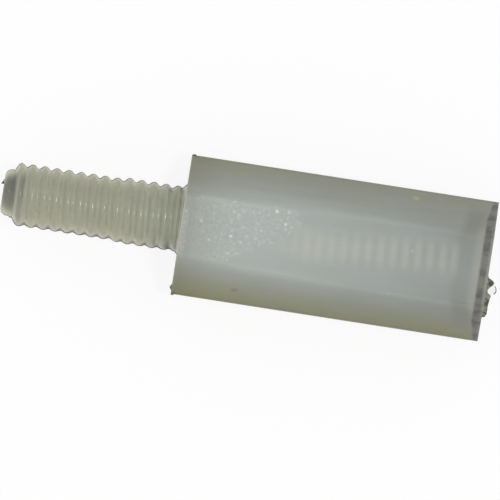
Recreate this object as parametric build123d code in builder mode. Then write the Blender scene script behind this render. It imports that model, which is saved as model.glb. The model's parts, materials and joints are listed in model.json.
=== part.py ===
"""Moulded nylon hex standoff, male to female, lying on one of its flats.

A hexagonal pillar has a threaded stud at one end and a blind screw hole at the other. It is
moulded in one shot, so it is one solid. X runs along the axis of the hexagon, with the shoulder
that seats on a panel at x = 0, the stud on the -X side and the mouth of the hole on the +X side.
Two corners of the hexagon point to +Y and -Y, and two of its flats face +Z and -Z.
All lengths are in millimetres.
"""

import os
from math import ceil

from build123d import *

# Hexagonal pillar
across_flats = 6.3
body_length = 16.0
corner_radius = 0.08

# Shallow round recess that the ejector sleeve leaves in the end with the hole
recess_diameter = 5.8
recess_depth = 0.42

# Blind hole, moulded at the inside diameter of its fine thread
hole_diameter = 2.6
hole_depth = 11.2
mouth_diameter = 3.4
mouth_depth = 0.4

# Threaded stud, which the two halves of the mould set a little off the axis of the hexagon
stud_length = 9.34
stud_offset = 0.26
thread_diameter = 3.24
thread_depth = 0.18
thread_pitch = 0.63
groove_root_width = 0.1
groove_mouth_width = 0.44
last_crest_to_shoulder = 0.43

# Plain pilot that leads the stud into a tapped hole
pilot_diameter = 2.4
pilot_length = 0.49
pilot_chamfer = 0.24

# Run-out of the thread into the shoulder
run_out_length = 0.24
shoulder_fillet = 0.12

# Cutters and joined solids reach this far past the faces that they meet
overrun = 0.1

thread_radius = thread_diameter / 2
root_radius = thread_radius - thread_depth
pilot_radius = pilot_diameter / 2
hole_radius = hole_diameter / 2
mouth_radius = mouth_diameter / 2
recess_radius = recess_diameter / 2
pilot_step = pilot_length - stud_length
recess_floor = body_length - recess_depth
stud_axis = Axis((0, stud_offset, 0), (1, 0, 0))
stud_plane = Plane(origin=(0, stud_offset, 0), x_dir=(1, 0, 0), z_dir=(0, 0, 1))

# The helix starts on the +Z side of the stud. A quarter turn before that it passes the +Y side,
# where the last crest is measured from the shoulder, and the groove lies half a pitch from a crest.
quarter_turn_share = 0.25
half_turn_share = 0.5
last_groove = (quarter_turn_share - half_turn_share) * thread_pitch - last_crest_to_shoulder
thread_turns = ceil((stud_length - pilot_length) / thread_pitch)
groove_start = last_groove - (thread_turns - 1) * thread_pitch
stud_root = 2 * thread_pitch
groove_length = stud_root - thread_pitch - groove_start

# Stud: pilot, thread and run-out
with BuildPart() as threaded_stud:
    with BuildSketch(stud_plane):
        with BuildLine():
            Polyline(
                (-stud_length, 0),
                (-stud_length, pilot_radius),
                (pilot_step, pilot_radius),
                (pilot_step, thread_radius),
                (stud_root, thread_radius),
                (stud_root, 0),
                close=True,
            )
        make_face()
    revolve(axis=stud_axis)
    pilot_rim = threaded_stud.edges().filter_by(GeomType.CIRCLE).sort_by(Axis.X)[0]
    chamfer(pilot_rim, pilot_chamfer)

    # Helical groove with sloped flanks, cut wider than its mouth so that it clears the crest
    flank_slope_share = (groove_mouth_width - groove_root_width) / (2 * thread_depth)
    cut_width = groove_mouth_width + 2 * flank_slope_share * overrun
    with BuildLine():
        groove_path = Helix(
            thread_pitch,
            groove_length,
            root_radius,
            center=(groove_start, stud_offset, 0),
            direction=(1, 0, 0),
        )
    with BuildSketch(Plane(origin=groove_path @ 0, x_dir=(1, 0, 0), z_dir=(0, -1, 0))):
        with BuildLine():
            Polyline(
                (-groove_root_width / 2, 0),
                (groove_root_width / 2, 0),
                (cut_width / 2, thread_depth + overrun),
                (-cut_width / 2, thread_depth + overrun),
                close=True,
            )
        make_face()
    sweep(path=groove_path, is_frenet=True, mode=Mode.SUBTRACT)

# Pillar with its hole, joined to the stud
with BuildPart() as hex_standoff:
    with BuildSketch(Plane.YZ):
        RegularPolygon(across_flats / 2, side_count=6, major_radius=False)
    extrude(amount=body_length)
    fillet(hex_standoff.edges().filter_by(Axis.X), corner_radius)

    with BuildSketch(Plane.XY):
        with BuildLine():
            Polyline(
                (body_length + overrun, 0),
                (body_length + overrun, recess_radius),
                (recess_floor, recess_radius),
                (recess_floor, mouth_radius),
                (recess_floor - mouth_depth, hole_radius),
                (body_length - hole_depth, hole_radius),
                (body_length - hole_depth, 0),
                close=True,
            )
        make_face()
    revolve(axis=Axis.X, mode=Mode.SUBTRACT)

    add(threaded_stud.part)

    with BuildSketch(stud_plane):
        with BuildLine():
            Polyline(
                (-run_out_length, root_radius),
                (-run_out_length, 0),
                (overrun, 0),
                (overrun, thread_radius + shoulder_fillet),
                (0, thread_radius + shoulder_fillet),
                close=True,
            )
        make_face()
    revolve(axis=stud_axis)

hex_standoff.part.label = "hex_standoff"

os.makedirs("parts", exist_ok=True)
export_step(hex_standoff.part, "parts/hex_standoff.step")
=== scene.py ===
"""Moulded nylon hex standoff, dressed for rendering.

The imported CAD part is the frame: X runs along the hexagon's axis, with the shoulder at x = 0, the
threaded stud on the -X side and the screw hole's mouth on the +X side. Two corners of the hexagon
point to +Y and -Y, where the two halves of the mould meet, and the part lies on its -Z flat.
"""

import json
from math import asin, atan2, ceil, cos, pi, radians, sin, tan, tau

import bmesh
import bpy
from bmesh.types import BMEdge, BMVert
from bpy.props import FloatProperty, FloatVectorProperty, IntProperty, PointerProperty
from mathutils import Matrix, Vector, noise


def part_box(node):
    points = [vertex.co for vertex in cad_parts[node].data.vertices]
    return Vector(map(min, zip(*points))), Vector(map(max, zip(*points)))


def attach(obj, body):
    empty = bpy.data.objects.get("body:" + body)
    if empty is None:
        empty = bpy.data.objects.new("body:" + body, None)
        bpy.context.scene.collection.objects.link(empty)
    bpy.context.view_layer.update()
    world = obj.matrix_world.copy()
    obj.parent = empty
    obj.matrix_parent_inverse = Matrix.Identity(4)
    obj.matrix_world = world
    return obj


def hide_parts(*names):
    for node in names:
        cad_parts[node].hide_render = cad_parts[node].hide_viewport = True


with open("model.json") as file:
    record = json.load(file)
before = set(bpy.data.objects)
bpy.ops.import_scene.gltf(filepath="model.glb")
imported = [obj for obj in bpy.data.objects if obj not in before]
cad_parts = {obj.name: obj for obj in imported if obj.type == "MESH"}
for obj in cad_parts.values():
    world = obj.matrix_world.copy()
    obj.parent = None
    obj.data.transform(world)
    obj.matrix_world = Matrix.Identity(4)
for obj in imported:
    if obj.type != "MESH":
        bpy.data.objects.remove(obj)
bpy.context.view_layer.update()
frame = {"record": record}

bl_info = {
    "name": "Moulded hex standoff",
    "version": (1, 0, 0),
    "blender": (4, 5, 0),
    "location": "View3D > Sidebar > Standoff",
    "description": "Models a moulded nylon hex standoff with its flash, finish and studio",
    "category": "Add Mesh",
}

MM = 0.001
# Points closer than this are one point, and rims closer than this to an end are its own
MERGE = 1e-7
RIM_REACH = 0.01 * MM
NODE = "hex_standoff"
BODY = "root"

LOW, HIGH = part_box(NODE)
MOUNTS = {mount["name"]: mount for mount in frame["record"]["mounts"]}

# Sizes in millimetres that the mesh and the nylon's patterns share
THREAD_PITCH = 0.63
THREAD_DEPTH = 0.18
LAST_CREST = 0.43
SHOULDER_SWELL = 0.07
SWELL_LENGTH = 3.0
SWELL_BLEND = 0.5
HOLE_DEPTH = 11.2


def mount_radius(name):
    """Radius of a round mount of the record, in metres."""
    return MOUNTS[name]["dims"]["r_mm"] * MM


def linear(hex_colour):
    """An sRGB colour written as #rrggbb, as the linear values that Blender's sockets hold."""
    values = [int(hex_colour[i:i + 2], 16) / 255 for i in (1, 3, 5)]
    return [v / 12.92 if v <= 0.04045 else ((v + 0.055) / 1.055) ** 2.4 for v in values]


def length(name, description, default):
    """A length that the user can change."""
    return FloatProperty(name=name, description=description, default=default, unit="LENGTH")


def tone(name, description, hex_colour):
    """A colour that the user can change."""
    return FloatVectorProperty(
        name=name, description=description, default=(*linear(hex_colour), 1), size=4, subtype="COLOR")


class STANDOFF_PG_sizes(bpy.types.PropertyGroup):
    """Sizes of the moulded body"""

    across_flats: length("Across flats", "Width of the hexagon over two opposite flats", HIGH.z - LOW.z)
    pillar_length: length("Pillar length", "From the shoulder to the end with the hole", HIGH.x)
    parting_radius: length(
        "Parting edge radius", "Rounding of the two long edges where the mould parts", 0.08 * MM)
    edge_radius: length("Edge radius", "Rounding of the hexagon's other four long edges", 0.28 * MM)
    stud_length: length("Stud length", "From the shoulder to the tip of the stud", -LOW.x)
    stud_offset: length(
        "Stud offset", "How far the stud stands off the hexagon's axis, along Y",
        MOUNTS["stud_thread"]["pos_m"][1])
    thread_radius: length(
        "Thread radius", "Stud's radius over the crests of its thread", mount_radius("stud_thread"))
    thread_depth: length(
        "Thread depth", "From crest to root, on the stud and in the hole", THREAD_DEPTH * MM)
    thread_pitch: length("Thread pitch", "From one crest to the next", THREAD_PITCH * MM)
    last_crest: length(
        "Last crest", "From the shoulder to the last crest on the stud's +Y side", LAST_CREST * MM)
    shoulder_swell: length(
        "Shoulder swell", "How much thicker the thread is on its last turns by the shoulder",
        SHOULDER_SWELL * MM)
    swell_length: length(
        "Swell length", "Length of thread by the shoulder that is thicker", SWELL_LENGTH * MM)
    pilot_radius: length(
        "Pilot radius", "Radius of the plain tip of the stud", mount_radius("stud_pilot"))
    pilot_start: length(
        "Pilot start", "Place along X where the thread ends and the plain tip starts",
        MOUNTS["stud_pilot"]["pos_m"][0])
    pilot_edge: length("Pilot edge", "Rounding of the tip's rim", 0.36 * MM)
    run_out: length("Run-out", "Length of the fillet where the thread meets the shoulder", 0.16 * MM)
    hole_radius: length(
        "Hole radius", "Radius of the hole inside the crests of its thread", mount_radius("screw_hole"))
    hole_depth: length(
        "Hole depth", "From the end of the pillar to the blind bottom of the hole", HOLE_DEPTH * MM)
    hole_plain: length("Hole's plain length", "Unthreaded length at each end of the hole", 0.5 * MM)
    mouth_radius: length("Mouth radius", "Radius of the hole's countersunk mouth", 1.7 * MM)
    mouth_depth: length("Mouth depth", "Depth of the hole's countersunk mouth", 0.4 * MM)
    recess_radius: length(
        "Recess radius", "Radius of the round recess that the ejector sleeve leaves", 2.9 * MM)
    recess_depth: length("Recess depth", "Depth of the round recess in the end", 0.42 * MM)
    film_thickness: length(
        "Film thickness", "Thickness of the film of flash on the recess's rim", 0.07 * MM)
    chip_thickness: length(
        "Chip thickness", "Thickness of the chips of flash in the parting plane", 0.12 * MM)
    stud_steps: IntProperty(
        name="Stud steps", description="Facets in one turn of the stud's thread", default=96)
    hole_steps: IntProperty(
        name="Hole steps", description="Facets in one turn of the hole's thread", default=64)


class STANDOFF_PG_finish(bpy.types.PropertyGroup):
    """Colours of the moulded nylon, some of them painted light and shade"""

    milky: tone("Milky core", "Nylon over the solid end of the pillar", "#a9afab")
    thin_wall: tone("Thin wall", "Nylon over the hole", "#8d938f")
    # Painted shade at the parting corners, tinted olive, on each side
    corner_shade_upper: tone("Olive, +Y", "Tint at the parting corner on the +Y side", "#7f8172")
    corner_shade_lower: tone("Olive, -Y", "Tint at the parting corner on the -Y side", "#747453")
    shoulder: tone(
        "Shoulder shade", "Shade of the nylon by the shoulder, over its own colour", "#d7d4c8")
    # Painted highlight of the hole's thread crests, seen through the wall
    thread_highlight: tone("Inner thread", "Crests of the hole's thread, through the wall", "#c6c4ae")
    dim_ring: tone("Dim ring", "Ring behind the recess", "#777a70")
    mouth_glow: tone("Mouth glow", "Warm strip between the dim ring and the end wall", "#93968a")
    # Painted shade of the recess, seen through the thin wall round it
    end_wall_shade: tone("End wall", "Thin clear wall round the recess", "#65655f")
    # Darkest painted shade in that wall, in a ripple and in patches
    end_wall_deep_shade: tone("End wall, thinnest", "Thinnest places of the wall round the recess", "#44443f")
    # Painted glint on the outer rim of that wall
    end_rim_glint: tone("End rim", "Outer rim of that wall, where it meets the end", "#8a8b86")
    stud: tone("Stud", "Threaded stud", "#999a89")
    # Painted shade of the shoulder on the stud's foot
    stud_foot_shade: tone("Stud's foot", "Threaded stud by the shoulder", "#949687")
    # Painted light on the stud's sides
    stud_side_light: tone("Stud's sides", "Sides of the stud, by the parting line", "#a3a28d")
    # Painted dark outline along the stud's parting line and round its end
    stud_outline_shade: tone(
        "Stud's parting line", "Dull line along the stud where the mould parts", "#6c6b5d")
    stud_tip: tone("Stud's tip", "Clear nylon at the tip of the stud", "#7b7c70")
    frost: tone("Frost", "Frosted patch by the shoulder", "#aeb4af")
    # Painted glints in the frosted patch and along the shoulder's edge
    painted_glint: tone("Glint", "Bright points in the frosted patch", "#fafcfa")
    amber: tone("Amber speck", "Scorched speck by the upper corner", "#969b70")
    soot: tone("Dark speck", "Dark speck by the lower corner", "#72745c")
    # Painted glints: pale specks on the pillar and on the stud's tip
    dust: tone("Dust", "Pale specks on the pillar", "#a6a8a4")
    flash: tone("Flash", "Thin flash", "#8e8d78")
    # Painted shade in the folds of the flash
    flash_fold_shade: tone("Flash, dark", "Dark places in the flash", "#403f33")


class STANDOFF_PG_studio(bpy.types.PropertyGroup):
    """Light and camera"""

    sky: FloatProperty(
        name="Sky", description="Strength of the even light from all round", default=0.81)
    key_power: FloatProperty(
        name="Key power", description="Power of the key lamp", default=0.33, unit="POWER")
    key_size: length("Key size", "Diameter of the key lamp", 0.04)
    key_distance: length("Key distance", "From the object to the key lamp", 0.4)
    key_tilt: FloatProperty(
        name="Key tilt", description="Lean of the key lamp from upright towards +X",
        default=radians(12), subtype="ANGLE")
    view_x: length("View X", "Place along X at the middle of the picture", 3.697 * MM)
    view_y: length("View Y", "Place along Y at the middle of the picture", -0.77 * MM)
    view_width: length("View width", "Width that the picture takes in", 25.76 * MM)
    view_turn: FloatProperty(
        name="View turn", description="Turn of the camera about Z",
        default=radians(8.83), subtype="ANGLE")
    lens: FloatProperty(
        name="Lens", description="Focal length of the camera", default=1500, unit="CAMERA")


def of_kind(geom, kind):
    """The items of one kind in what a bmesh operator returns."""
    return [item for item in geom if isinstance(item, kind)]


def everything(bm):
    """All the vertices, edges and faces of a mesh, for a bmesh operator."""
    return bm.verts[:] + bm.edges[:] + bm.faces[:]


def grow_ring(bm, ring, x, radius, axis_y=0.0):
    """Extrudes a closed ring of edges and sets its new rim round the axis, at that place and radius."""
    grown = bmesh.ops.extrude_edge_only(bm, edges=ring)["geom"]
    for vert in of_kind(grown, BMVert):
        spoke = Vector((0, vert.co.y - axis_y, vert.co.z)).normalized()
        vert.co = Vector((x, axis_y, 0)) + spoke * radius
    return of_kind(grown, BMEdge)


def round_rim(bm, ring, x, radius, edge, outward, axis_y=0.0, steps=6):
    """Rounds the end of a round wall that stops at x, and returns the ring at the foot of its cap."""
    for step in range(steps + 1):
        turn = pi / 2 * step / steps
        place = x - outward * edge * (1 - sin(turn))
        ring = grow_ring(bm, ring, place, radius - edge * (1 - cos(turn)), axis_y)
    return ring


def spin_thread(bm, start, pitch, turns, steps, outline, axis_y=0.0):
    """Spins one pitch of a thread's outline once round X, one pitch along, and repeats that turn."""
    verts = [bm.verts.new((start + pitch * share, axis_y + radius, 0)) for share, radius in outline]
    edges = [bm.edges.new(pair) for pair in zip(verts, verts[1:])]
    bmesh.ops.spin(
        bm, geom=verts + edges, cent=(0, axis_y, 0), axis=(1, 0, 0), dvec=(pitch / steps, 0, 0),
        angle=tau, steps=steps)
    one_turn = everything(bm)
    for turn in range(1, turns):
        copy = bmesh.ops.duplicate(bm, geom=one_turn)["geom"]
        bmesh.ops.translate(bm, verts=of_kind(copy, BMVert), vec=(pitch * turn, 0, 0))
    bmesh.ops.remove_doubles(bm, verts=bm.verts, dist=MERGE)


def trim(bm, x, side):
    """Cuts a skin off past x, on the +X side for 1 and the -X side for -1, and returns the cut's ring."""
    cut = bmesh.ops.bisect_plane(
        bm, geom=everything(bm), dist=MERGE, plane_co=(x, 0, 0), plane_no=(side, 0, 0), clear_outer=True)
    return of_kind(cut["geom_cut"], BMEdge)


def smooth_share(value, low, high):
    """0 up to low, 1 from high on, and a smooth rise between them."""
    share = min(max((value - low) / (high - low), 0), 1)
    return share * share * (3 - 2 * share)


# The crests are blunter than the roots: a plain round wave would have 2 here
CREST_BLUNTNESS = 2.5
# Points in one pitch of the outline
STUD_POINTS = 20
HOLE_POINTS = 12


def thread_outline(root, depth, points):
    """One pitch of a rounded thread, from root to root, as shares of the pitch and radii."""
    shares = [i / points for i in range(points + 1)]
    return [(share, root + depth * (1 - abs(cos(pi * share)) ** CREST_BLUNTNESS)) for share in shares]


# Marks that the mould leaves on the stud. Flash fills the grooves along the parting line, and the stud
# is a little flat there: the side, the share of the groove's depth that is left, and how flat it is.
PARTING_WEBS = ((0, 0.95, 0.04 * MM), (pi, 0.5, 0.01 * MM))
WEB_HALF_ANGLE = radians(18)
# The thread starts later on the -Y side than on the +Y side, by this much
LEAD_IN_LAG = 0.16 * MM
LEAD_IN_SLOPE = 1.7
LEAD_IN_STEP = 0.04 * MM
LEAD_IN_BLEND = 0.2 * MM
RUN_OUT_SLOPE = 1.2
WAVER = 0.018 * MM
WAVER_SPACING = 0.5 * MM


def moulded_radius(radius, angle, x, sizes):
    """The stud's radius once its swell, parting webs, lead-in and run-out are added to the thread."""
    crest = sizes.thread_radius + sizes.shoulder_swell * smooth_share(
        x, -sizes.swell_length - SWELL_BLEND * MM, -sizes.swell_length)
    depth = sizes.thread_radius - radius
    for parting, left_share, flat in PARTING_WEBS:
        away = smooth_share(abs((angle - parting + pi) % tau - pi), 0, WEB_HALF_ANGLE)
        depth *= left_share + (1 - left_share) * away
        crest -= flat * (1 - away)
    radius = crest - depth
    lead_in_start = sizes.pilot_start + LEAD_IN_LAG * (1 - cos(angle)) / 2
    lead_in = sizes.pilot_radius + LEAD_IN_STEP + max(x - lead_in_start, 0) * LEAD_IN_SLOPE
    overlap = max(LEAD_IN_BLEND - abs(radius - lead_in), 0)
    radius = min(radius, lead_in) - overlap ** 2 / (4 * LEAD_IN_BLEND)
    run_out = sizes.thread_radius + (x + sizes.run_out) * RUN_OUT_SLOPE
    return max(radius, run_out)


def stud_skin(sizes):
    """Threaded stud with its plain tip, open at the shoulder."""
    bm = bmesh.new()
    pitch, axis_y = sizes.thread_pitch, sizes.stud_offset
    outline = thread_outline(sizes.thread_radius - sizes.thread_depth, sizes.thread_depth, STUD_POINTS)
    first_turns = ceil((-sizes.pilot_start - sizes.last_crest + pitch / 2) / pitch)
    start = -sizes.last_crest - pitch / 2 - first_turns * pitch
    spin_thread(bm, start, pitch, ceil(-start / pitch), sizes.stud_steps, outline, axis_y)
    for vert in bm.verts:
        spoke = Vector((0, vert.co.y - axis_y, vert.co.z))
        waver = WAVER * noise.noise(vert.co / WAVER_SPACING)
        radius = moulded_radius(spoke.length, atan2(spoke.z, spoke.y), vert.co.x, sizes) + waver
        vert.co = Vector((vert.co.x, axis_y, 0)) + spoke.normalized() * radius
    trim(bm, 0, 1)
    ring = trim(bm, sizes.pilot_start, -1)
    ring = grow_ring(bm, ring, sizes.pilot_start, sizes.pilot_radius, axis_y)
    ring = round_rim(bm, ring, -sizes.stud_length, sizes.pilot_radius, sizes.pilot_edge, -1, axis_y)
    bmesh.ops.edgeloop_fill(bm, edges=ring)
    return bm


def hole_skin(sizes):
    """Threaded blind hole with its countersunk mouth and the recess round it, open at the end."""
    bm = bmesh.new()
    pitch, inner = sizes.thread_pitch, sizes.hole_radius
    bottom = sizes.pillar_length - sizes.hole_depth
    floor = sizes.pillar_length - sizes.recess_depth
    mouth = floor - sizes.mouth_depth
    thread_low, thread_high = bottom + sizes.hole_plain, mouth - sizes.hole_plain
    start = thread_low - pitch
    turns = ceil((thread_high - start) / pitch)
    outline = thread_outline(inner, sizes.thread_depth, HOLE_POINTS)
    spin_thread(bm, start, pitch, turns, sizes.hole_steps, outline)
    ring = trim(bm, thread_high, 1)
    blind = trim(bm, thread_low, -1)
    ring = grow_ring(bm, ring, thread_high, inner)
    ring = grow_ring(bm, ring, mouth, inner)
    ring = grow_ring(bm, ring, floor, sizes.mouth_radius)
    ring = grow_ring(bm, ring, floor, sizes.recess_radius)
    grow_ring(bm, ring, sizes.pillar_length, sizes.recess_radius)
    blind = grow_ring(bm, blind, thread_low, inner)
    blind = grow_ring(bm, blind, bottom, inner)
    bmesh.ops.edgeloop_fill(bm, edges=blind)
    return bm


def pillar_skin(sizes):
    """The six flats and their rounded edges, open at both ends."""
    bm = bmesh.new()
    corner = sizes.across_flats / 2 / cos(radians(30))
    bmesh.ops.create_circle(bm, segments=6, radius=corner, matrix=Matrix.Rotation(radians(90), 4, "Y"))
    grown = bmesh.ops.extrude_edge_only(bm, edges=bm.edges[:])["geom"]
    bmesh.ops.translate(bm, verts=of_kind(grown, BMVert), vec=(sizes.pillar_length, 0, 0))
    long_edges = [edge for edge in bm.edges if not edge.is_boundary]
    parting = [edge for edge in long_edges if abs(edge.verts[0].co.z) < MERGE]
    other = [edge for edge in long_edges if edge not in parting]
    for edges, radius in ((parting, sizes.parting_radius), (other, sizes.edge_radius)):
        bmesh.ops.bevel(
            bm, geom=edges, offset=radius * tan(radians(30)), offset_type="OFFSET",
            affect="EDGES", segments=6, profile=0.5, material=-1)
    return bm


def to_mesh(name, bm):
    """Turns a bmesh into a mesh of that name, and frees it."""
    mesh = bpy.data.meshes.new(name)
    bm.to_mesh(mesh)
    bm.free()
    return mesh


def absorb(bm, skin):
    """Adds one open skin to the body's mesh."""
    mesh = to_mesh("skin", skin)
    bm.from_mesh(mesh)
    bpy.data.meshes.remove(mesh)


# Chips of flash in the parting plane, as outlines in X and Y. Their inner ends are sunk in the body.
CHIPS = {
    "shoulder_burr_lower": (
        (0.30, -3.30), (0.07, -2.97), (-0.116, -3.275), (0.005, -3.46), (0.005, -3.68),
        (0.09, -3.69), (0.25, -3.60)),
    "shoulder_burr_upper": ((0.03, 3.45), (0.03, 3.66), (0.20, 3.67), (0.26, 3.60), (0.26, 3.45)),
    "tip_flake": ((-9.507, 0.64), (-9.30, 1.02), (-9.22, 0.98), (-9.24, 0.66)),
}
CHIP_EDGE = 0.012 * MM

# Fin of flash round the stud: how far it stands out, there and on the tip, its sunk depth and thickness
FIN_HEIGHT = 0.03 * MM
FIN_TIP_HEIGHT = 0.01 * MM
FIN_ROOT = 0.08 * MM
FIN_THICKNESS = 0.07 * MM

# Films of flash on the rim of the recess: their lower and upper edges, as distances below the axis
# along Y and heights over the end of the pillar
FILMS = {
    "end_flash": (
        ((0.15, -0.05), (2.36, -0.05)),
        ((0.15, 0.0), (0.32, 0.05), (0.40, 0.24), (0.52, 0.37), (0.62, 0.34), (0.78, 0.19), (0.90, 0.08),
         (1.10, 0.10), (1.21, 0.30), (1.40, 0.26), (1.72, 0.22), (2.15, 0.23), (2.33, 0.15),
         (2.36, 0.0))),
    "end_flake": (
        ((0.60, 0.20), (0.90, 0.05), (1.12, 0.08)),
        ((0.60, 0.36), (0.70, 0.42), (0.80, 0.48), (0.91, 0.51), (1.02, 0.49), (1.12, 0.42))),
    "end_flake_rim": (
        ((0.69, 0.40), (0.80, 0.46), (0.91, 0.49), (1.02, 0.47), (1.10, 0.41)),
        ((0.69, 0.45), (0.80, 0.51), (0.91, 0.54), (1.02, 0.52), (1.10, 0.45))),
}
FILM_STEPS = 60
CLEAR_FILMS = ("end_flake",)


def thicken(bm, thickness):
    """Makes a flat skin in the parting plane a slab, with half its thickness on each side."""
    bmesh.ops.translate(bm, verts=bm.verts, vec=(0, 0, -thickness / 2))
    grown = bmesh.ops.extrude_face_region(bm, geom=bm.faces[:])["geom"]
    bmesh.ops.translate(bm, verts=of_kind(grown, BMVert), vec=(0, 0, thickness))


def chip_skin(outline, thickness):
    """Flat chip in the parting plane, with rounded edges."""
    bm = bmesh.new()
    bm.faces.new([bm.verts.new((x * MM, y * MM, 0)) for x, y in outline])
    thicken(bm, thickness)
    bmesh.ops.bevel(
        bm, geom=bm.edges[:], offset=CHIP_EDGE, offset_type="OFFSET", affect="EDGES", segments=2,
        profile=0.5, material=-1)
    return bm


def fin_skin(sizes):
    """Thin fin of flash round the stud, in the plane where the mould parts."""
    bm = stud_skin(sizes)
    bmesh.ops.bisect_plane(
        bm, geom=everything(bm), dist=MERGE, plane_co=(0, 0, 0), plane_no=(0, 0, 1),
        clear_inner=True, clear_outer=True)
    outward = {}
    for vert in bm.verts:
        near = [edge.other_vert(vert).co for edge in vert.link_edges] + [vert.co]
        square = (near[0] - near[1]).cross(Vector((0, 0, 1))).normalized()
        core = Vector((max(vert.co.x, sizes.pilot_start), sizes.stud_offset, 0))
        outward[vert] = square if square.dot(vert.co - core) > 0 else -square
    feet = {vert: bm.verts.new(vert.co - way * FIN_ROOT) for vert, way in outward.items()}
    for first, second in [edge.verts for edge in bm.edges]:
        bm.faces.new((first, second, feet[second], feet[first]))
    for vert, way in outward.items():
        vert.co += way * (FIN_HEIGHT if vert.co.x > sizes.pilot_start else FIN_TIP_HEIGHT)
    thicken(bm, FIN_THICKNESS)
    return bm


def height_at(edge, y):
    """Height of a film's edge at that distance along Y."""
    for (y_low, low), (y_high, high) in zip(edge, edge[1:]):
        if y <= y_high:
            return low + (high - low) * max(y - y_low, 0) / (y_high - y_low)
    return edge[-1][1]


def film_skin(low_edge, high_edge, sizes):
    """Curved film on the rim of the recess, between its lower and upper edges."""
    bm = bmesh.new()
    radius = sizes.recess_radius
    first, last = (asin(y * MM / radius) for y in (low_edge[0][0], low_edge[-1][0]))
    foot, top = (bm.verts.new((x * MM, -radius * sin(first), radius * cos(first))) for x in (0, 1))
    bmesh.ops.spin(
        bm, geom=[foot, top, bm.edges.new((foot, top))], cent=(0, 0, 0), axis=(1, 0, 0),
        angle=last - first, steps=FILM_STEPS)
    for vert in bm.verts:
        edge = high_edge if vert.co.x > 0 else low_edge
        vert.co.x = sizes.pillar_length + height_at(edge, -vert.co.y / MM) * MM
    bmesh.ops.recalc_face_normals(bm, faces=bm.faces)
    bmesh.ops.solidify(bm, geom=bm.faces[:], thickness=sizes.film_thickness)
    return bm


def new_object(name, data):
    """Adds an object to the scene."""
    made = bpy.data.objects.new(name, data)
    bpy.context.scene.collection.objects.link(made)
    return made


# Edges that turn more than this are sharp
CREASE = radians(40)


def add_piece(name, bm, material):
    """Makes a closed mesh a piece of the object, with sharp creases, and lets it ride on the CAD body."""
    open_edges = sum(not edge.is_manifold for edge in bm.edges)
    if open_edges:
        raise RuntimeError(f"{name} has {open_edges} open edges")
    bmesh.ops.recalc_face_normals(bm, faces=bm.faces)
    mesh = to_mesh(name, bm)
    mesh.shade_smooth()
    mesh.set_sharp_from_angle(angle=CREASE)
    mesh.materials.append(material)
    piece = new_object(name, mesh)
    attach(piece, BODY)
    return piece


# Options that many nodes share
SMOOTH = {"interpolation_type": "SMOOTHSTEP"}
RGBA = {"data_type": "RGBA"}


def node(tree, kind, inputs=None, **options):
    """Adds one node, sets its options, and fills its sockets with values, sockets or other nodes.

    Its kind is Blender's name for a shader node, less the ShaderNode at the front.
    """
    made = tree.nodes.new("ShaderNode" + kind)
    for option, value in options.items():
        setattr(made, option, value)
    for key, value in (inputs or {}).items():
        named = [s for s in made.inputs if s.name == key and s.enabled]
        socket = named[0] if named else made.inputs[key]
        if isinstance(value, bpy.types.Node):
            value = next(s for s in value.outputs if s.enabled)
        if isinstance(value, bpy.types.NodeSocket):
            tree.links.new(value, socket)
        else:
            socket.default_value = value
    return made


def new_tree(name):
    """A material with an empty node tree, ready for its nodes."""
    material = bpy.data.materials.new(name)
    material.use_nodes = True
    material.node_tree.nodes.clear()
    return material, material.node_tree


def object_mm(tree):
    """Object coordinates, in millimetres."""
    place = node(tree, "TexCoord").outputs["Object"]
    return node(tree, "VectorMath", {0: place, "Scale": 1 / MM}, operation="SCALE")


def off(tree, value, centre):
    """How far a value is from a centre, to either side."""
    beyond = node(tree, "Math", {0: value, 1: centre}, operation="SUBTRACT")
    return node(tree, "Math", {0: beyond}, operation="ABSOLUTE")


# Places in the nylon's patterns, in millimetres, as its coordinates are
FLAT = HIGH.z / MM
SKIN = 0.06
STUD_AXIS = MOUNTS["stud_thread"]["pos_m"][1] / MM
STUD_CREST = mount_radius("stud_thread") / MM
STUD_START = -0.005
FIRST_GROOVE = -8.42
# The painted highlight along the flats' long edges and the painted corner shade sit a little towards -Y,
# and those edges are this far from their middle
FLAT_MIDDLE = -0.07
LONG_EDGE = 1.84
HOLE_BLIND = HIGH.x / MM - HOLE_DEPTH
STRIPE_PITCH = 0.64
STRIPE_CREST = 14.2
STRIPE_LEAN = 0.06
STRIPES_END = 14.5
RING_ON_FLAT = 14.68
RING_ON_SIDE = 14.95
END_BAND = 15.49
END_RIPPLE = 1.2
FROST_START = 0.42
FROST_LENGTH = 6.05
FROST_SLANT = 1.6
# Painted highlight along the shoulder's edge of the upper flat: its place along X, and its middle along Y
EDGE_HIGHLIGHT = 0.2
HIGHLIGHT_MIDDLE = -0.35

# Sizes of what the noise in the nylon draws, in millimetres
GRAIN = 0.35
STREAK = 0.8
FROST_RAG = 0.45
FROST_MOTTLE = 0.13
FROST_CLUMP = 0.8
GLINT_WANDER = 0.2
FLASH_FOLD = 0.22
FILM_HAZE = 0.2
# The mould's satin grain is too fine to show, so it is drawn this coarse
SATIN = 0.12

# Specks: place and size in millimetres, and the name of their colour. The amber and dark ones are
# inclusions in the nylon, the pale ones painted glints.
SPECKS = (
    ((11.74, 3.17, 0.8), 0.3, "amber"), ((3.2, -2.93, 1.2), 0.3, "soot"),
    ((11.96, 0.45, 3.15), 0.14, "dust"), ((11.07, -1.9, 3.0), 0.14, "dust"),
    ((-9.0, 0.32, 1.3), 0.15, "dust"))

NYLON_IOR = 1.53
# A film this thin hardly bends light
FILM_IOR = 1.05


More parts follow.
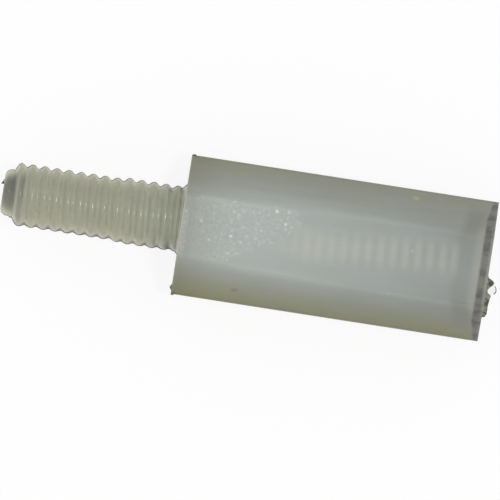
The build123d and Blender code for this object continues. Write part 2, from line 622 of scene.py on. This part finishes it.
def hexagon_place(tree, y, z):
    """How far a point is out from the axis, square to the nearest flat, and along that flat."""
    angle = node(tree, "Math", {0: z, 1: y}, operation="ARCTAN2")
    folded = node(tree, "Math", {0: angle, 1: radians(60)}, operation="FLOORED_MODULO")
    centred = node(tree, "Math", {0: folded, 1: radians(30)}, operation="SUBTRACT")
    spoke = node(tree, "CombineXYZ", {"X": y, "Y": z})
    radius = node(tree, "VectorMath", {0: spoke}, operation="LENGTH").outputs["Value"]
    cosine = node(tree, "Math", {0: centred}, operation="COSINE")
    sine = node(tree, "Math", {0: centred}, operation="SINE")
    out = node(tree, "Math", {0: radius, 1: cosine}, operation="MULTIPLY")
    return out, node(tree, "Math", {0: radius, 1: sine}, operation="MULTIPLY")


def pillar_tone(tree, finish, x):
    """Milky where the pillar is solid, and thinner towards the mouth of the hole."""
    hollow = node(tree, "MapRange", {"Value": x, "From Min": HOLE_BLIND, "From Max": STRIPES_END})
    return node(tree, "Mix", {"Factor": hollow, "A": finish.milky, "B": finish.thin_wall}, **RGBA)


def painted_thread_highlight(tree, finish, colour, x, y, height):
    """Painted highlight: warm stripes of the hole's thread, seen square through the upper and lower
    flats.
    """
    turn = tau / STRIPE_PITCH
    leant = node(tree, "Math", {0: y, 1: STRIPE_LEAN, 2: x}, operation="MULTIPLY_ADD")
    phase = node(tree, "Math", {0: leant, 1: turn, 2: -STRIPE_CREST * turn}, operation="MULTIPLY_ADD")
    wave = node(tree, "Math", {0: phase}, operation="COSINE")
    level = node(tree, "MapRange", {
        "Value": x, "From Min": 6.5, "From Max": 14.0, "To Min": 0.22, "To Max": 0.11})
    factor = node(tree, "Math", {0: wave, 1: 0.1, 2: level}, operation="MULTIPLY_ADD")
    centre = node(tree, "MapRange", {
        "Value": x, "From Min": 7.0, "From Max": 13.0, "To Min": -0.05, "To Max": 0.35})
    across = node(tree, "MapRange", {
        "Value": off(tree, y, centre), "From Min": 1.15, "From Max": 0.2}, **SMOOTH)
    start = node(tree, "MapRange", {
        "Value": x, "From Min": HOLE_BLIND - 0.4, "From Max": HOLE_BLIND + 1.6}, **SMOOTH)
    stop = node(tree, "MapRange", {
        "Value": x, "From Min": STRIPES_END + 0.1, "From Max": STRIPES_END - 0.1}, **SMOOTH)
    flat = node(tree, "Math", {0: height, 1: FLAT - SKIN}, operation="GREATER_THAN")
    for share in (across, start, stop, flat):
        factor = node(tree, "Math", {0: factor, 1: share}, operation="MULTIPLY")
    return node(tree, "Mix", {"Factor": factor, "A": colour, "B": finish.thread_highlight}, **RGBA)


def painted_corner_shade(tree, finish, colour, x, y, away):
    """Painted shade, tinted olive, towards the corners where the mould parts, a painted dark line along
    them, and a painted highlight along the flats' long edges.
    """
    upper = node(tree, "MapRange", {"Value": y, "From Min": -1, "From Max": 1})
    olive = node(tree, "Mix", {
        "Factor": upper, "A": finish.corner_shade_lower, "B": finish.corner_shade_upper}, **RGBA)
    from_middle = off(tree, y, FLAT_MIDDLE)
    strong = node(tree, "MapRange", {"Value": x, "From Max": 5.0, "To Min": 1.35})
    deep = node(tree, "MapRange", {
        "Value": from_middle, "From Min": 1.9, "From Max": 3.2, "To Min": 0.55, "To Max": 1.15})
    strong = node(tree, "Math", {0: strong, 1: deep}, operation="MULTIPLY")
    olive = node(tree, "HueSaturation", {"Color": olive, "Saturation": strong})
    # Painted olive shade, growing towards the parting corners
    start = node(tree, "MapRange", {"Value": x, "From Max": 8.0, "To Min": 1.5, "To Max": 1.75})
    corner = node(tree, "MapRange", {"Value": from_middle, "From Min": start, "From Max": 3.55})
    corner = node(tree, "Math", {0: corner, 1: 0.7}, operation="POWER")
    colour = node(tree, "Mix", {"Factor": corner, "A": colour, "B": olive}, **RGBA)
    # Painted highlight along the long edges of the upper and lower flats
    brightest_highlight = node(tree, "MapRange", {
        "Value": x, "From Min": 5.0, "From Max": 11.0, "To Min": 1.0, "To Max": 1.09})
    highlight = node(tree, "MapRange", {
        "Value": off(tree, from_middle, LONG_EDGE), "From Min": 0.2, "From Max": 0.0,
        "To Min": 1.0, "To Max": brightest_highlight}, **SMOOTH)
    # Painted dark line right along the parting corners
    dull = node(tree, "MapRange", {
        "Value": away, "From Min": 3.46, "From Max": 3.6, "To Min": 1.0, "To Max": 0.85})
    value = node(tree, "Math", {0: highlight, 1: dull}, operation="MULTIPLY")
    return node(tree, "HueSaturation", {"Color": colour, "Value": value})


def shoulder_tone(tree, finish, colour, x, away):
    """Duller and warmer by the shoulder, most of all on the sides."""
    near = node(tree, "MapRange", {"Value": x, "From Min": 3.2, "From Max": 0.0})
    near = node(tree, "Math", {0: near, 1: 1.8}, operation="POWER")
    side = node(tree, "MapRange", {
        "Value": away, "From Min": 1.8, "From Max": 2.8, "To Min": 0.62, "To Max": 0.78}, **SMOOTH)
    dull = node(tree, "Math", {0: near, 1: side}, operation="MULTIPLY")
    return node(tree, "Mix", {
        "Factor": dull, "A": colour, "B": finish.shoulder}, **RGBA, blend_type="MULTIPLY")


def hole_ring(tree, finish, colour, x, away, skin):
    """Dim ring behind the recess, and the warm strip between it and the end wall."""
    middle = node(tree, "MapRange", {
        "Value": away, "From Min": 1.5, "From Max": 2.4, "To Min": RING_ON_FLAT, "To Max": RING_ON_SIDE})
    ring = node(tree, "MapRange", {
        "Value": off(tree, x, middle), "From Min": 0.75, "From Max": 0.15}, **SMOOTH)
    deeper = node(tree, "MapRange", {
        "Value": away, "From Min": 1.7, "From Max": 2.5, "To Min": 0.38, "To Max": 0.9})
    fading = node(tree, "MapRange", {"Value": away, "From Min": 3.6, "From Max": 2.6}, **SMOOTH)
    glow = node(tree, "MapRange", {"Value": x, "From Min": 15.05, "From Max": 15.4})
    on_flat = node(tree, "MapRange", {"Value": away, "From Min": 2.3, "From Max": 1.7})
    for shares, tint in (((ring, deeper, fading), finish.dim_ring), ((glow, on_flat), finish.mouth_glow)):
        factor = skin
        for share in shares:
            factor = node(tree, "Math", {0: factor, 1: share}, operation="MULTIPLY")
        colour = node(tree, "Mix", {"Factor": factor, "A": colour, "B": tint}, **RGBA)
    return colour


def end_wall_shade(tree, finish, colour, x, away, along, skin, grain):
    """Painted shade of the recess, seen through the thin clear wall round it, darker in a ripple along
    each flat, with a painted glint on its outer rim.
    """
    inset = node(tree, "MapRange", {
        "Value": away, "From Min": 2.6, "From Max": 3.5, "To Min": END_BAND, "To Max": END_BAND + 0.2})
    past = node(tree, "Math", {0: x, 1: inset}, operation="SUBTRACT")
    band = node(tree, "MapRange", {"Value": past, "From Min": -0.06, "From Max": 0.1}, **SMOOTH)
    band = node(tree, "Math", {0: band, 1: skin}, operation="MULTIPLY")
    # Darker painted shade in a ripple along each flat, broken by the grain
    ripple = node(tree, "Math", {0: along, 1: tau / END_RIPPLE}, operation="MULTIPLY")
    ripple = node(tree, "Math", {0: ripple}, operation="COSINE")
    dark = node(tree, "Math", {0: ripple, 1: 0.2, 2: grain}, operation="MULTIPLY_ADD")
    dark = node(tree, "MapRange", {"Value": dark, "From Min": 0.4, "From Max": 0.75})
    clear = node(tree, "Mix", {"Factor": dark, "A": finish.end_wall_shade, "B": finish.end_wall_deep_shade}, **RGBA)
    # Painted glint on the outer rim, strongest near the middle of the upper and lower flats
    rim = node(tree, "MapRange", {"Value": x, "From Min": 15.8, "From Max": 15.9})
    highlight = node(tree, "MapRange", {
        "Value": away, "From Min": 1.6, "From Max": 2.6, "To Min": 0.5, "To Max": 0.1})
    rim = node(tree, "Math", {0: rim, 1: highlight}, operation="MULTIPLY")
    clear = node(tree, "Mix", {"Factor": rim, "A": clear, "B": finish.end_rim_glint}, **RGBA)
    return node(tree, "Mix", {"Factor": band, "A": colour, "B": clear}, **RGBA)


def stud_base(tree, finish, x, height):
    """The stud is thin, so it is yellower. It has painted light on its sides, painted shade on its foot
    by the shoulder, and a painted dark outline along its parting line and round its end.
    """
    # Painted shade on the foot, by the shoulder
    by_shoulder = node(tree, "MapRange", {"Value": x, "From Min": -3.5, "From Max": -1.0})
    stud = node(tree, "Mix", {
        "Factor": by_shoulder, "A": finish.stud, "B": finish.stud_foot_shade}, **RGBA)
    # Painted light on the sides, less by the shoulder
    side = node(tree, "MapRange", {"Value": height, "From Min": 1.45, "From Max": 0.6}, **SMOOTH)
    clear_of_shoulder = node(tree, "MapRange", {
        "Value": x, "From Min": -2.2, "From Max": -0.4, "To Min": 1.0, "To Max": 0.1})
    side = node(tree, "Math", {0: side, 1: clear_of_shoulder}, operation="MULTIPLY")
    stud = node(tree, "Mix", {"Factor": side, "A": stud, "B": finish.stud_side_light}, **RGBA)
    # Painted dark outline along the parting line and round the end
    line = node(tree, "MapRange", {"Value": height, "From Min": 0.5, "From Max": 0.2}, **SMOOTH)
    end = node(tree, "MapRange", {"Value": x, "From Min": -9.2, "From Max": -9.33, "To Max": 0.6})
    line = node(tree, "Math", {0: line, 1: end}, operation="MAXIMUM")
    return node(tree, "Mix", {"Factor": line, "A": stud, "B": finish.stud_outline_shade}, **RGBA)


def painted_thread_light(tree, x, y, z, middle):
    """Painted light that fills the shade of the stud's grooves, more by the shoulder on the flanks that
    face it and on the run-out, and painted shade on its upper half.
    """
    offset = node(tree, "Math", {0: y, 1: STUD_AXIS}, operation="SUBTRACT")
    spoke = node(tree, "CombineXYZ", {"X": offset, "Y": z})
    radius = node(tree, "VectorMath", {0: spoke}, operation="LENGTH").outputs["Value"]
    swell = node(tree, "MapRange", {
        "Value": x, "From Min": -SWELL_LENGTH - SWELL_BLEND, "From Max": -SWELL_LENGTH,
        "To Max": SHOULDER_SWELL}, **SMOOTH)
    plain = node(tree, "Math", {0: radius, 1: swell}, operation="SUBTRACT")
    # Painted light, most at the roots of the thread
    glow = node(tree, "MapRange", {
        "Value": plain, "From Min": STUD_CREST, "From Max": STUD_CREST - THREAD_DEPTH,
        "To Min": 1.0, "To Max": 1.38})
    # Painted light on the flanks that face the shoulder, near it
    turn = tau / THREAD_PITCH
    turned = node(tree, "Math", {0: x, 1: turn, 2: LAST_CREST * turn}, operation="MULTIPLY_ADD")
    angle = node(tree, "Math", {0: z, 1: offset}, operation="ARCTAN2")
    phase = node(tree, "Math", {0: turned, 1: angle}, operation="SUBTRACT")
    facing = node(tree, "Math", {0: phase}, operation="SINE")
    lift = node(tree, "Math", {0: facing, 1: 0.25, 2: 0.15}, operation="MULTIPLY_ADD")
    foot = node(tree, "MapRange", {"Value": x, "From Min": -3.0, "From Max": 0.0})
    foot = node(tree, "Math", {0: foot, 1: middle}, operation="MULTIPLY")
    lift = node(tree, "Math", {0: lift, 1: foot, 2: 1.0}, operation="MULTIPLY_ADD")
    # Painted light on the run-out by the shoulder
    fillet = node(tree, "MapRange", {
        "Value": y, "From Min": -1.3, "From Max": -0.4, "To Min": 1.05, "To Max": 1.28})
    run_out = node(tree, "MapRange", {
        "Value": x, "From Min": -0.45, "From Max": -0.3, "To Min": 1.0, "To Max": fillet})
    # Painted shade on the stud's upper half
    upper = node(tree, "MapRange", {
        "Value": y, "From Min": 0.5, "From Max": 1.0, "To Min": 1.0, "To Max": 0.94})
    for share in (lift, run_out, upper):
        glow = node(tree, "Math", {0: glow, 1: share}, operation="MULTIPLY")
    return glow


def stud_tone(tree, finish, colour, x, y, z, height):
    """Colours the stud, with its tip clearer than the rest and painted shade in its first groove."""
    middle = node(tree, "MapRange", {"Value": height, "From Min": 0.5, "From Max": 1.1}, **SMOOTH)
    stud = node(tree, "HueSaturation", {
        "Color": stud_base(tree, finish, x, height), "Value": painted_thread_light(tree, x, y, z, middle)})
    tip = node(tree, "MapRange", {"Value": x, "From Min": -8.5, "From Max": -8.85}, **SMOOTH)
    # Painted shade in the first groove, drawn with the tip's colour
    groove = node(tree, "MapRange", {
        "Value": off(tree, x, FIRST_GROOVE), "From Min": 0.2, "From Max": 0.06, "To Max": 0.68}, **SMOOTH)
    below = node(tree, "MapRange", {"Value": y, "From Min": 1.35, "From Max": 1.0})
    groove = node(tree, "Math", {0: groove, 1: below}, operation="MULTIPLY")
    tip = node(tree, "Math", {0: tip, 1: groove}, operation="MAXIMUM")
    tip = node(tree, "Math", {0: tip, 1: middle}, operation="MULTIPLY")
    shade = node(tree, "MapRange", {
        "Value": y, "From Min": 0.8, "From Max": -0.6, "To Min": 0.74, "To Max": 1.1})
    clear = node(tree, "HueSaturation", {"Color": finish.stud_tip, "Value": shade})
    stud = node(tree, "Mix", {"Factor": tip, "A": stud, "B": clear}, **RGBA)
    is_stud = node(tree, "Math", {0: x, 1: STUD_START}, operation="LESS_THAN")
    return node(tree, "Mix", {"Factor": is_stud, "A": colour, "B": stud}, **RGBA)


def frost_mask(tree, mm, x, y, away, top):
    """Frosted patch on the upper flat, by the shoulder, with a ragged slanting end."""
    rag = node(tree, "TexNoise", {"Vector": mm, "Scale": 1 / FROST_RAG, "Detail": 3})
    below = node(tree, "Math", {0: 0.6, 1: y}, operation="SUBTRACT")
    below = node(tree, "Math", {0: below, 1: 0.0}, operation="MAXIMUM")
    reach = node(tree, "Math", {0: below, 1: -FROST_SLANT, 2: FROST_LENGTH}, operation="MULTIPLY_ADD")
    ragged = node(tree, "Math", {0: rag, 1: 1.2, 2: reach}, operation="MULTIPLY_ADD")
    inside = node(tree, "Math", {0: ragged, 1: x}, operation="SUBTRACT")
    inside = node(tree, "MapRange", {"Value": inside, "From Min": 0.4, "From Max": 1.1}, **SMOOTH)
    start = node(tree, "MapRange", {
        "Value": x, "From Min": FROST_START - 0.1, "From Max": FROST_START + 0.5}, **SMOOTH)
    patch = node(tree, "MapRange", {"Value": away, "From Min": 1.78, "From Max": 1.45}, **SMOOTH)
    for share in (inside, start, top):
        patch = node(tree, "Math", {0: patch, 1: share}, operation="MULTIPLY")
    return patch


def painted_edge_highlight(tree, x, y, top):
    """Narrow painted highlight along the shoulder's edge of the upper flat."""
    strip = node(tree, "MapRange", {
        "Value": off(tree, x, EDGE_HIGHLIGHT), "From Min": 0.16, "From Max": 0.05}, **SMOOTH)
    span = node(tree, "MapRange", {
        "Value": off(tree, y, HIGHLIGHT_MIDDLE), "From Min": 1.5, "From Max": 1.0}, **SMOOTH)
    for share in (span, top):
        strip = node(tree, "Math", {0: strip, 1: share}, operation="MULTIPLY")
    return strip


def painted_sparkles(tree, mm, spacing, size, share):
    """Painted glints: bright points on a flat, of that size, in that share of its cells. Lengths are in
    millimetres.
    """
    cells = node(tree, "TexVoronoi", {"Vector": mm, "Scale": 1 / spacing}, voronoi_dimensions="2D")
    lot = node(tree, "SeparateColor", {0: cells.outputs["Color"]})
    lit = node(tree, "MapRange", {"Value": lot, "From Min": 1 - share})
    spot = node(tree, "MapRange", {
        "Value": cells.outputs["Distance"], "From Min": size / spacing, "From Max": 0.2 * size / spacing},
        **SMOOTH)
    return node(tree, "Math", {0: lit, 1: spot}, operation="MULTIPLY")


def frosted(tree, finish, colour, mm, x, y, z, away):
    """Frosts a patch of the upper flat by the shoulder, paints glints in it and a highlight along the
    shoulder's edge, and returns its mask with the colour.
    """
    top = node(tree, "Math", {0: z, 1: FLAT - 0.02}, operation="GREATER_THAN")
    frost = frost_mask(tree, mm, x, y, away, top)
    mottle = node(tree, "TexNoise", {"Vector": mm, "Scale": 1 / FROST_MOTTLE, "Detail": 2})
    value = node(tree, "MapRange", {
        "Value": mottle, "From Min": 0.3, "From Max": 0.7, "To Min": 0.93, "To Max": 1.07})
    white = node(tree, "HueSaturation", {"Color": finish.frost, "Value": value})
    colour = node(tree, "Mix", {"Factor": frost, "A": colour, "B": white}, **RGBA)

    # Painted glints, in clumps, denser towards the patch's far end
    wander = node(tree, "TexNoise", {"Vector": mm, "Scale": 1 / GLINT_WANDER}).outputs["Color"]
    ragged = node(tree, "VectorMath", {
        0: wander, 1: (GLINT_WANDER,) * 3, 2: mm}, operation="MULTIPLY_ADD")
    clumps = node(tree, "TexNoise", {"Vector": mm, "Scale": 1 / FROST_CLUMP, "Detail": 2})
    clumps = node(tree, "MapRange", {
        "Value": clumps, "From Min": 0.35, "From Max": 0.65, "To Min": 0.15})
    denser = node(tree, "MapRange", {
        "Value": x, "From Min": 2.0, "From Max": 5.0, "To Min": 0.8, "To Max": 1.6})
    fine = painted_sparkles(tree, ragged, spacing=0.25, size=0.12, share=0.5)
    coarse = painted_sparkles(tree, ragged, spacing=0.55, size=0.12, share=0.4)
    painted_glint = node(tree, "Math", {0: fine, 1: 0.25}, operation="MULTIPLY")
    painted_glint = node(tree, "Math", {0: coarse, 1: 0.75, 2: painted_glint}, operation="MULTIPLY_ADD")
    for share in (clumps, denser, frost):
        painted_glint = node(tree, "Math", {0: painted_glint, 1: share}, operation="MULTIPLY")
    # Painted highlight along the shoulder's edge, beaded with painted glints
    strip = painted_edge_highlight(tree, x, y, top)
    beads = painted_sparkles(tree, mm, spacing=0.17, size=0.08, share=0.7)
    beads = node(tree, "Math", {0: beads, 1: 0.45, 2: 0.06}, operation="MULTIPLY_ADD")
    painted_glint = node(tree, "Math", {0: beads, 1: strip, 2: painted_glint}, operation="MULTIPLY_ADD", use_clamp=True)
    return node(tree, "Mix", {"Factor": painted_glint, "A": colour, "B": finish.painted_glint}, **RGBA), frost


def speck(tree, colour, mm, place, size, tint):
    """A small spot at that place, used for inclusions in the nylon and for painted glints."""
    distance = node(tree, "VectorMath", {0: mm, 1: place}, operation="DISTANCE").outputs["Value"]
    spot = node(tree, "MapRange", {"Value": distance, "From Min": size, "From Max": 0.1 * size}, **SMOOTH)
    return node(tree, "Mix", {"Factor": spot, "A": colour, "B": tint}, **RGBA)


def moulded_nylon(finish):
    """Natural nylon, injection moulded.

    Light goes a little way into it, so shading is soft, and painted light fills the shade in the stud's
    thread.
    The mould leaves a satin skin, frosted by the shoulder, with painted glints, and the hole's thread
    shows through the wall as a painted highlight. The sides, stud and end wall carry painted light and
    shade.
    """
    material, tree = new_tree("moulded_natural_nylon")
    mm = object_mm(tree)
    x, y, z = node(tree, "SeparateXYZ", {0: mm}).outputs
    away, height = off(tree, y, 0.0), off(tree, z, 0.0)
    out, along = hexagon_place(tree, y, z)
    skin = node(tree, "Math", {0: out, 1: FLAT - SKIN}, operation="GREATER_THAN")
    grain = node(tree, "TexNoise", {"Vector": mm, "Scale": 1 / GRAIN, "Detail": 2})

    colour = pillar_tone(tree, finish, x)
    colour = painted_thread_highlight(tree, finish, colour, x, y, height)
    colour = painted_corner_shade(tree, finish, colour, x, y, away)
    colour, frost = frosted(tree, finish, colour, mm, x, y, z, away)
    colour = shoulder_tone(tree, finish, colour, x, away)
    colour = hole_ring(tree, finish, colour, x, away, skin)
    colour = end_wall_shade(tree, finish, colour, x, away, along, skin, grain)
    colour = stud_tone(tree, finish, colour, x, y, z, height)
    for spot, size, tint in SPECKS:
        colour = speck(tree, colour, mm, spot, size, getattr(finish, tint))

    drawn = node(tree, "Mapping", {"Vector": mm, "Scale": (0.25, 1, 1)})
    streak = node(tree, "TexNoise", {"Vector": drawn, "Scale": 1 / STREAK, "Detail": 4})
    value = node(tree, "MapRange", {
        "Value": streak, "From Min": 0.25, "From Max": 0.75, "To Min": 0.955, "To Max": 1.045})
    colour = node(tree, "HueSaturation", {"Color": colour, "Value": value})
    rough = node(tree, "MapRange", {
        "Value": frost, "From Min": 0.49, "From Max": 0.51, "To Min": 0.21, "To Max": 0.58})
    satin = node(tree, "TexNoise", {"Vector": mm, "Scale": 1 / SATIN, "Detail": 2})
    bump = node(tree, "Bump", {"Height": satin, "Strength": 0.1, "Distance": 0.02 * MM})
    shader = node(tree, "BsdfPrincipled", {
        "Base Color": colour, "Roughness": rough, "IOR": NYLON_IOR, "Normal": bump,
        "Subsurface Weight": 1.0, "Subsurface Radius": (1.0, 0.95, 0.8), "Subsurface Scale": 0.5 * MM})
    node(tree, "OutputMaterial", {"Surface": shader})
    return material


def flash_nylon(finish):
    """Flash of natural nylon, torn where the mould parts: thin, olive, glossy, with painted shade in its
    folds.
    """
    material, tree = new_tree("nylon_flash")
    folds = node(tree, "TexNoise", {"Vector": object_mm(tree), "Scale": 1 / FLASH_FOLD, "Detail": 2})
    # Painted shade in the folds
    dark = node(tree, "MapRange", {"Value": folds, "From Min": 0.42, "From Max": 0.62})
    colour = node(tree, "Mix", {"Factor": dark, "A": finish.flash, "B": finish.flash_fold_shade}, **RGBA)
    bump = node(tree, "Bump", {"Height": folds, "Strength": 0.3, "Distance": 0.05 * MM})
    shader = node(tree, "BsdfPrincipled", {
        "Base Color": colour, "Roughness": 0.2, "IOR": NYLON_IOR, "Normal": bump})
    node(tree, "OutputMaterial", {"Surface": shader})
    return material


def clear_film():
    """Nylon film thinner than a hair, drawn out as the mould opened: it is clear, with a faint gloss."""
    material, tree = new_tree("nylon_film")
    haze = node(tree, "TexNoise", {"Vector": object_mm(tree), "Scale": 1 / FILM_HAZE, "Detail": 2})
    rough = node(tree, "MapRange", {"Value": haze, "To Min": 0.02, "To Max": 0.12})
    shader = node(tree, "BsdfPrincipled", {
        "Base Color": (*linear("#f4f5f1"), 1), "Roughness": rough, "IOR": FILM_IOR,
        "Transmission Weight": 1.0})
    node(tree, "OutputMaterial", {"Surface": shader})
    return material


def seen_ray(tree):
    """1 for rays that show the background as it is seen: from the camera, in gloss and through glass."""
    path = node(tree, "LightPath").outputs
    seen = node(tree, "Math", {0: path["Is Camera Ray"], 1: path["Is Glossy Ray"]}, operation="MAXIMUM")
    return node(tree, "Math", {0: seen, 1: path["Is Transmission Ray"]}, operation="MAXIMUM")


# Studio sizes in metres: half the floor's width, and where the camera starts to see
FLOOR_HALF = 2.0
CLIP_START = 0.01
# Share of plain white in the paper as it is seen
PAPER_LIFT = 0.85


def white_floor():
    """Matt white paper, which shows white but keeps the object's soft shadow."""
    material, tree = new_tree("white_paper")
    paper = node(tree, "BsdfDiffuse", {"Color": (0.96, 0.96, 0.96, 1)})
    lift = node(tree, "Emission", {"Color": (1, 1, 1, 1)})
    seen = node(tree, "Math", {0: seen_ray(tree), 1: PAPER_LIFT}, operation="MULTIPLY")
    mixed = node(tree, "MixShader", {"Fac": seen, 1: paper, 2: lift})
    node(tree, "OutputMaterial", {"Surface": mixed})
    return material


def lay_floor():
    """White paper under the object."""
    bm = bmesh.new()
    bmesh.ops.create_grid(bm, x_segments=1, y_segments=1, size=FLOOR_HALF)
    bmesh.ops.translate(bm, verts=bm.verts, vec=(0, 0, LOW.z))
    mesh = to_mesh("floor", bm)
    mesh.materials.append(white_floor())
    floor = new_object("floor", mesh)


def light_studio(scene, studio, centre):
    """Even white light from all round, and a key lamp over the object."""
    world = bpy.data.worlds.new("studio")
    scene.world = world
    world.use_nodes = True
    tree = world.node_tree
    tree.nodes.clear()
    strength = node(tree, "MapRange", {"Value": seen_ray(tree), "To Min": studio.sky})
    background = node(tree, "Background", {"Color": (1, 1, 1, 1), "Strength": strength})
    node(tree, "OutputWorld", {"Surface": background})

    lamp = bpy.data.lights.new("key", "AREA")
    lamp.shape = "DISK"
    lamp.size = studio.key_size
    lamp.energy = studio.key_power
    key = new_object("key", lamp)
    lean = Vector((sin(studio.key_tilt), 0, cos(studio.key_tilt)))
    key.location = centre + lean * studio.key_distance
    key.rotation_euler = lean.to_track_quat("Z", "Y").to_euler()
    key.visible_camera = False


def aim_camera(scene, studio, centre):
    """Camera straight over the object, turned as in the photo."""
    camera_data = bpy.data.cameras.new("camera")
    camera_data.lens = studio.lens
    camera_data.clip_start = CLIP_START
    camera = new_object("camera", camera_data)
    distance = studio.view_width * camera_data.lens / camera_data.sensor_width
    camera.location = centre + Vector((0, 0, distance))
    camera.rotation_euler = (0, 0, studio.view_turn)
    scene.camera = camera


class STANDOFF_OT_body(bpy.types.Operator):
    """Mould the hexagonal pillar with its threaded stud and hole"""

    bl_idname = "standoff.mould_body"
    bl_label = "Mould body"

    def execute(self, context):
        sizes = context.scene.standoff_sizes
        bm = bmesh.new()
        for skin in (stud_skin(sizes), hole_skin(sizes), pillar_skin(sizes)):
            absorb(bm, skin)
        for x in (0, sizes.pillar_length):
            rims = [e for e in bm.edges if e.is_boundary and abs(e.verts[0].co.x - x) < RIM_REACH]
            bmesh.ops.triangle_fill(bm, edges=rims, use_beauty=True)
        piece = add_piece("standoff_body", bm, moulded_nylon(context.scene.standoff_finish))
        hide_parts(NODE)
        return {"FINISHED"}


class STANDOFF_OT_flash(bpy.types.Operator):
    """Leave the fin, chips and films of flash where the mould parts"""

    bl_idname = "standoff.leave_flash"
    bl_label = "Leave flash"

    def execute(self, context):
        sizes = context.scene.standoff_sizes
        torn, clear = flash_nylon(context.scene.standoff_finish), clear_film()
        add_piece("parting_fin", fin_skin(sizes), torn)
        for name, outline in CHIPS.items():
            add_piece(name, chip_skin(outline, sizes.chip_thickness), torn)
        for name, (low_edge, high_edge) in FILMS.items():
            add_piece(name, film_skin(low_edge, high_edge, sizes), clear if name in CLEAR_FILMS else torn)
        return {"FINISHED"}


class STANDOFF_OT_stage(bpy.types.Operator):
    """Set the floor, the studio light and the camera"""

    bl_idname = "standoff.set_stage"
    bl_label = "Set stage"

    def execute(self, context):
        scene, studio = context.scene, context.scene.standoff_studio
        scene.view_settings.view_transform = "Standard"
        centre = Vector((studio.view_x, studio.view_y, 0))
        lay_floor()
        light_studio(scene, studio, centre)
        aim_camera(scene, studio, centre)
        return {"FINISHED"}


class STANDOFF_PT_panel(bpy.types.Panel):
    """Lists the standoff's sizes, colours, studio and steps"""

    bl_idname = "STANDOFF_PT_panel"
    bl_label = "Hex standoff"
    bl_space_type = "VIEW_3D"
    bl_region_type = "UI"
    bl_category = "Standoff"

    def draw(self, context):
        scene = context.scene
        for operator in OPERATORS:
            self.layout.operator(operator.bl_idname)
        for name, group in GROUPS.items():
            for field in group.__annotations__:
                self.layout.prop(getattr(scene, name), field)


OPERATORS = (STANDOFF_OT_body, STANDOFF_OT_flash, STANDOFF_OT_stage)
GROUPS = {
    "standoff_sizes": STANDOFF_PG_sizes, "standoff_finish": STANDOFF_PG_finish,
    "standoff_studio": STANDOFF_PG_studio}


def register():
    """Registers the classes and gives the scene its property groups."""
    for cls in (*GROUPS.values(), *OPERATORS, STANDOFF_PT_panel):
        bpy.utils.register_class(cls)
    for name, group in GROUPS.items():
        setattr(bpy.types.Scene, name, PointerProperty(type=group))


def unregister():
    """Takes the property groups off the scene and unregisters the classes."""
    for name in GROUPS:
        delattr(bpy.types.Scene, name)
    for cls in (STANDOFF_PT_panel, *OPERATORS, *GROUPS.values()):
        bpy.utils.unregister_class(cls)


def main():
    """Builds the standoff and its stage."""
    register()
    bpy.ops.standoff.mould_body()
    bpy.ops.standoff.leave_flash()
    bpy.ops.standoff.set_stage()


if __name__ == "__main__":
    main()
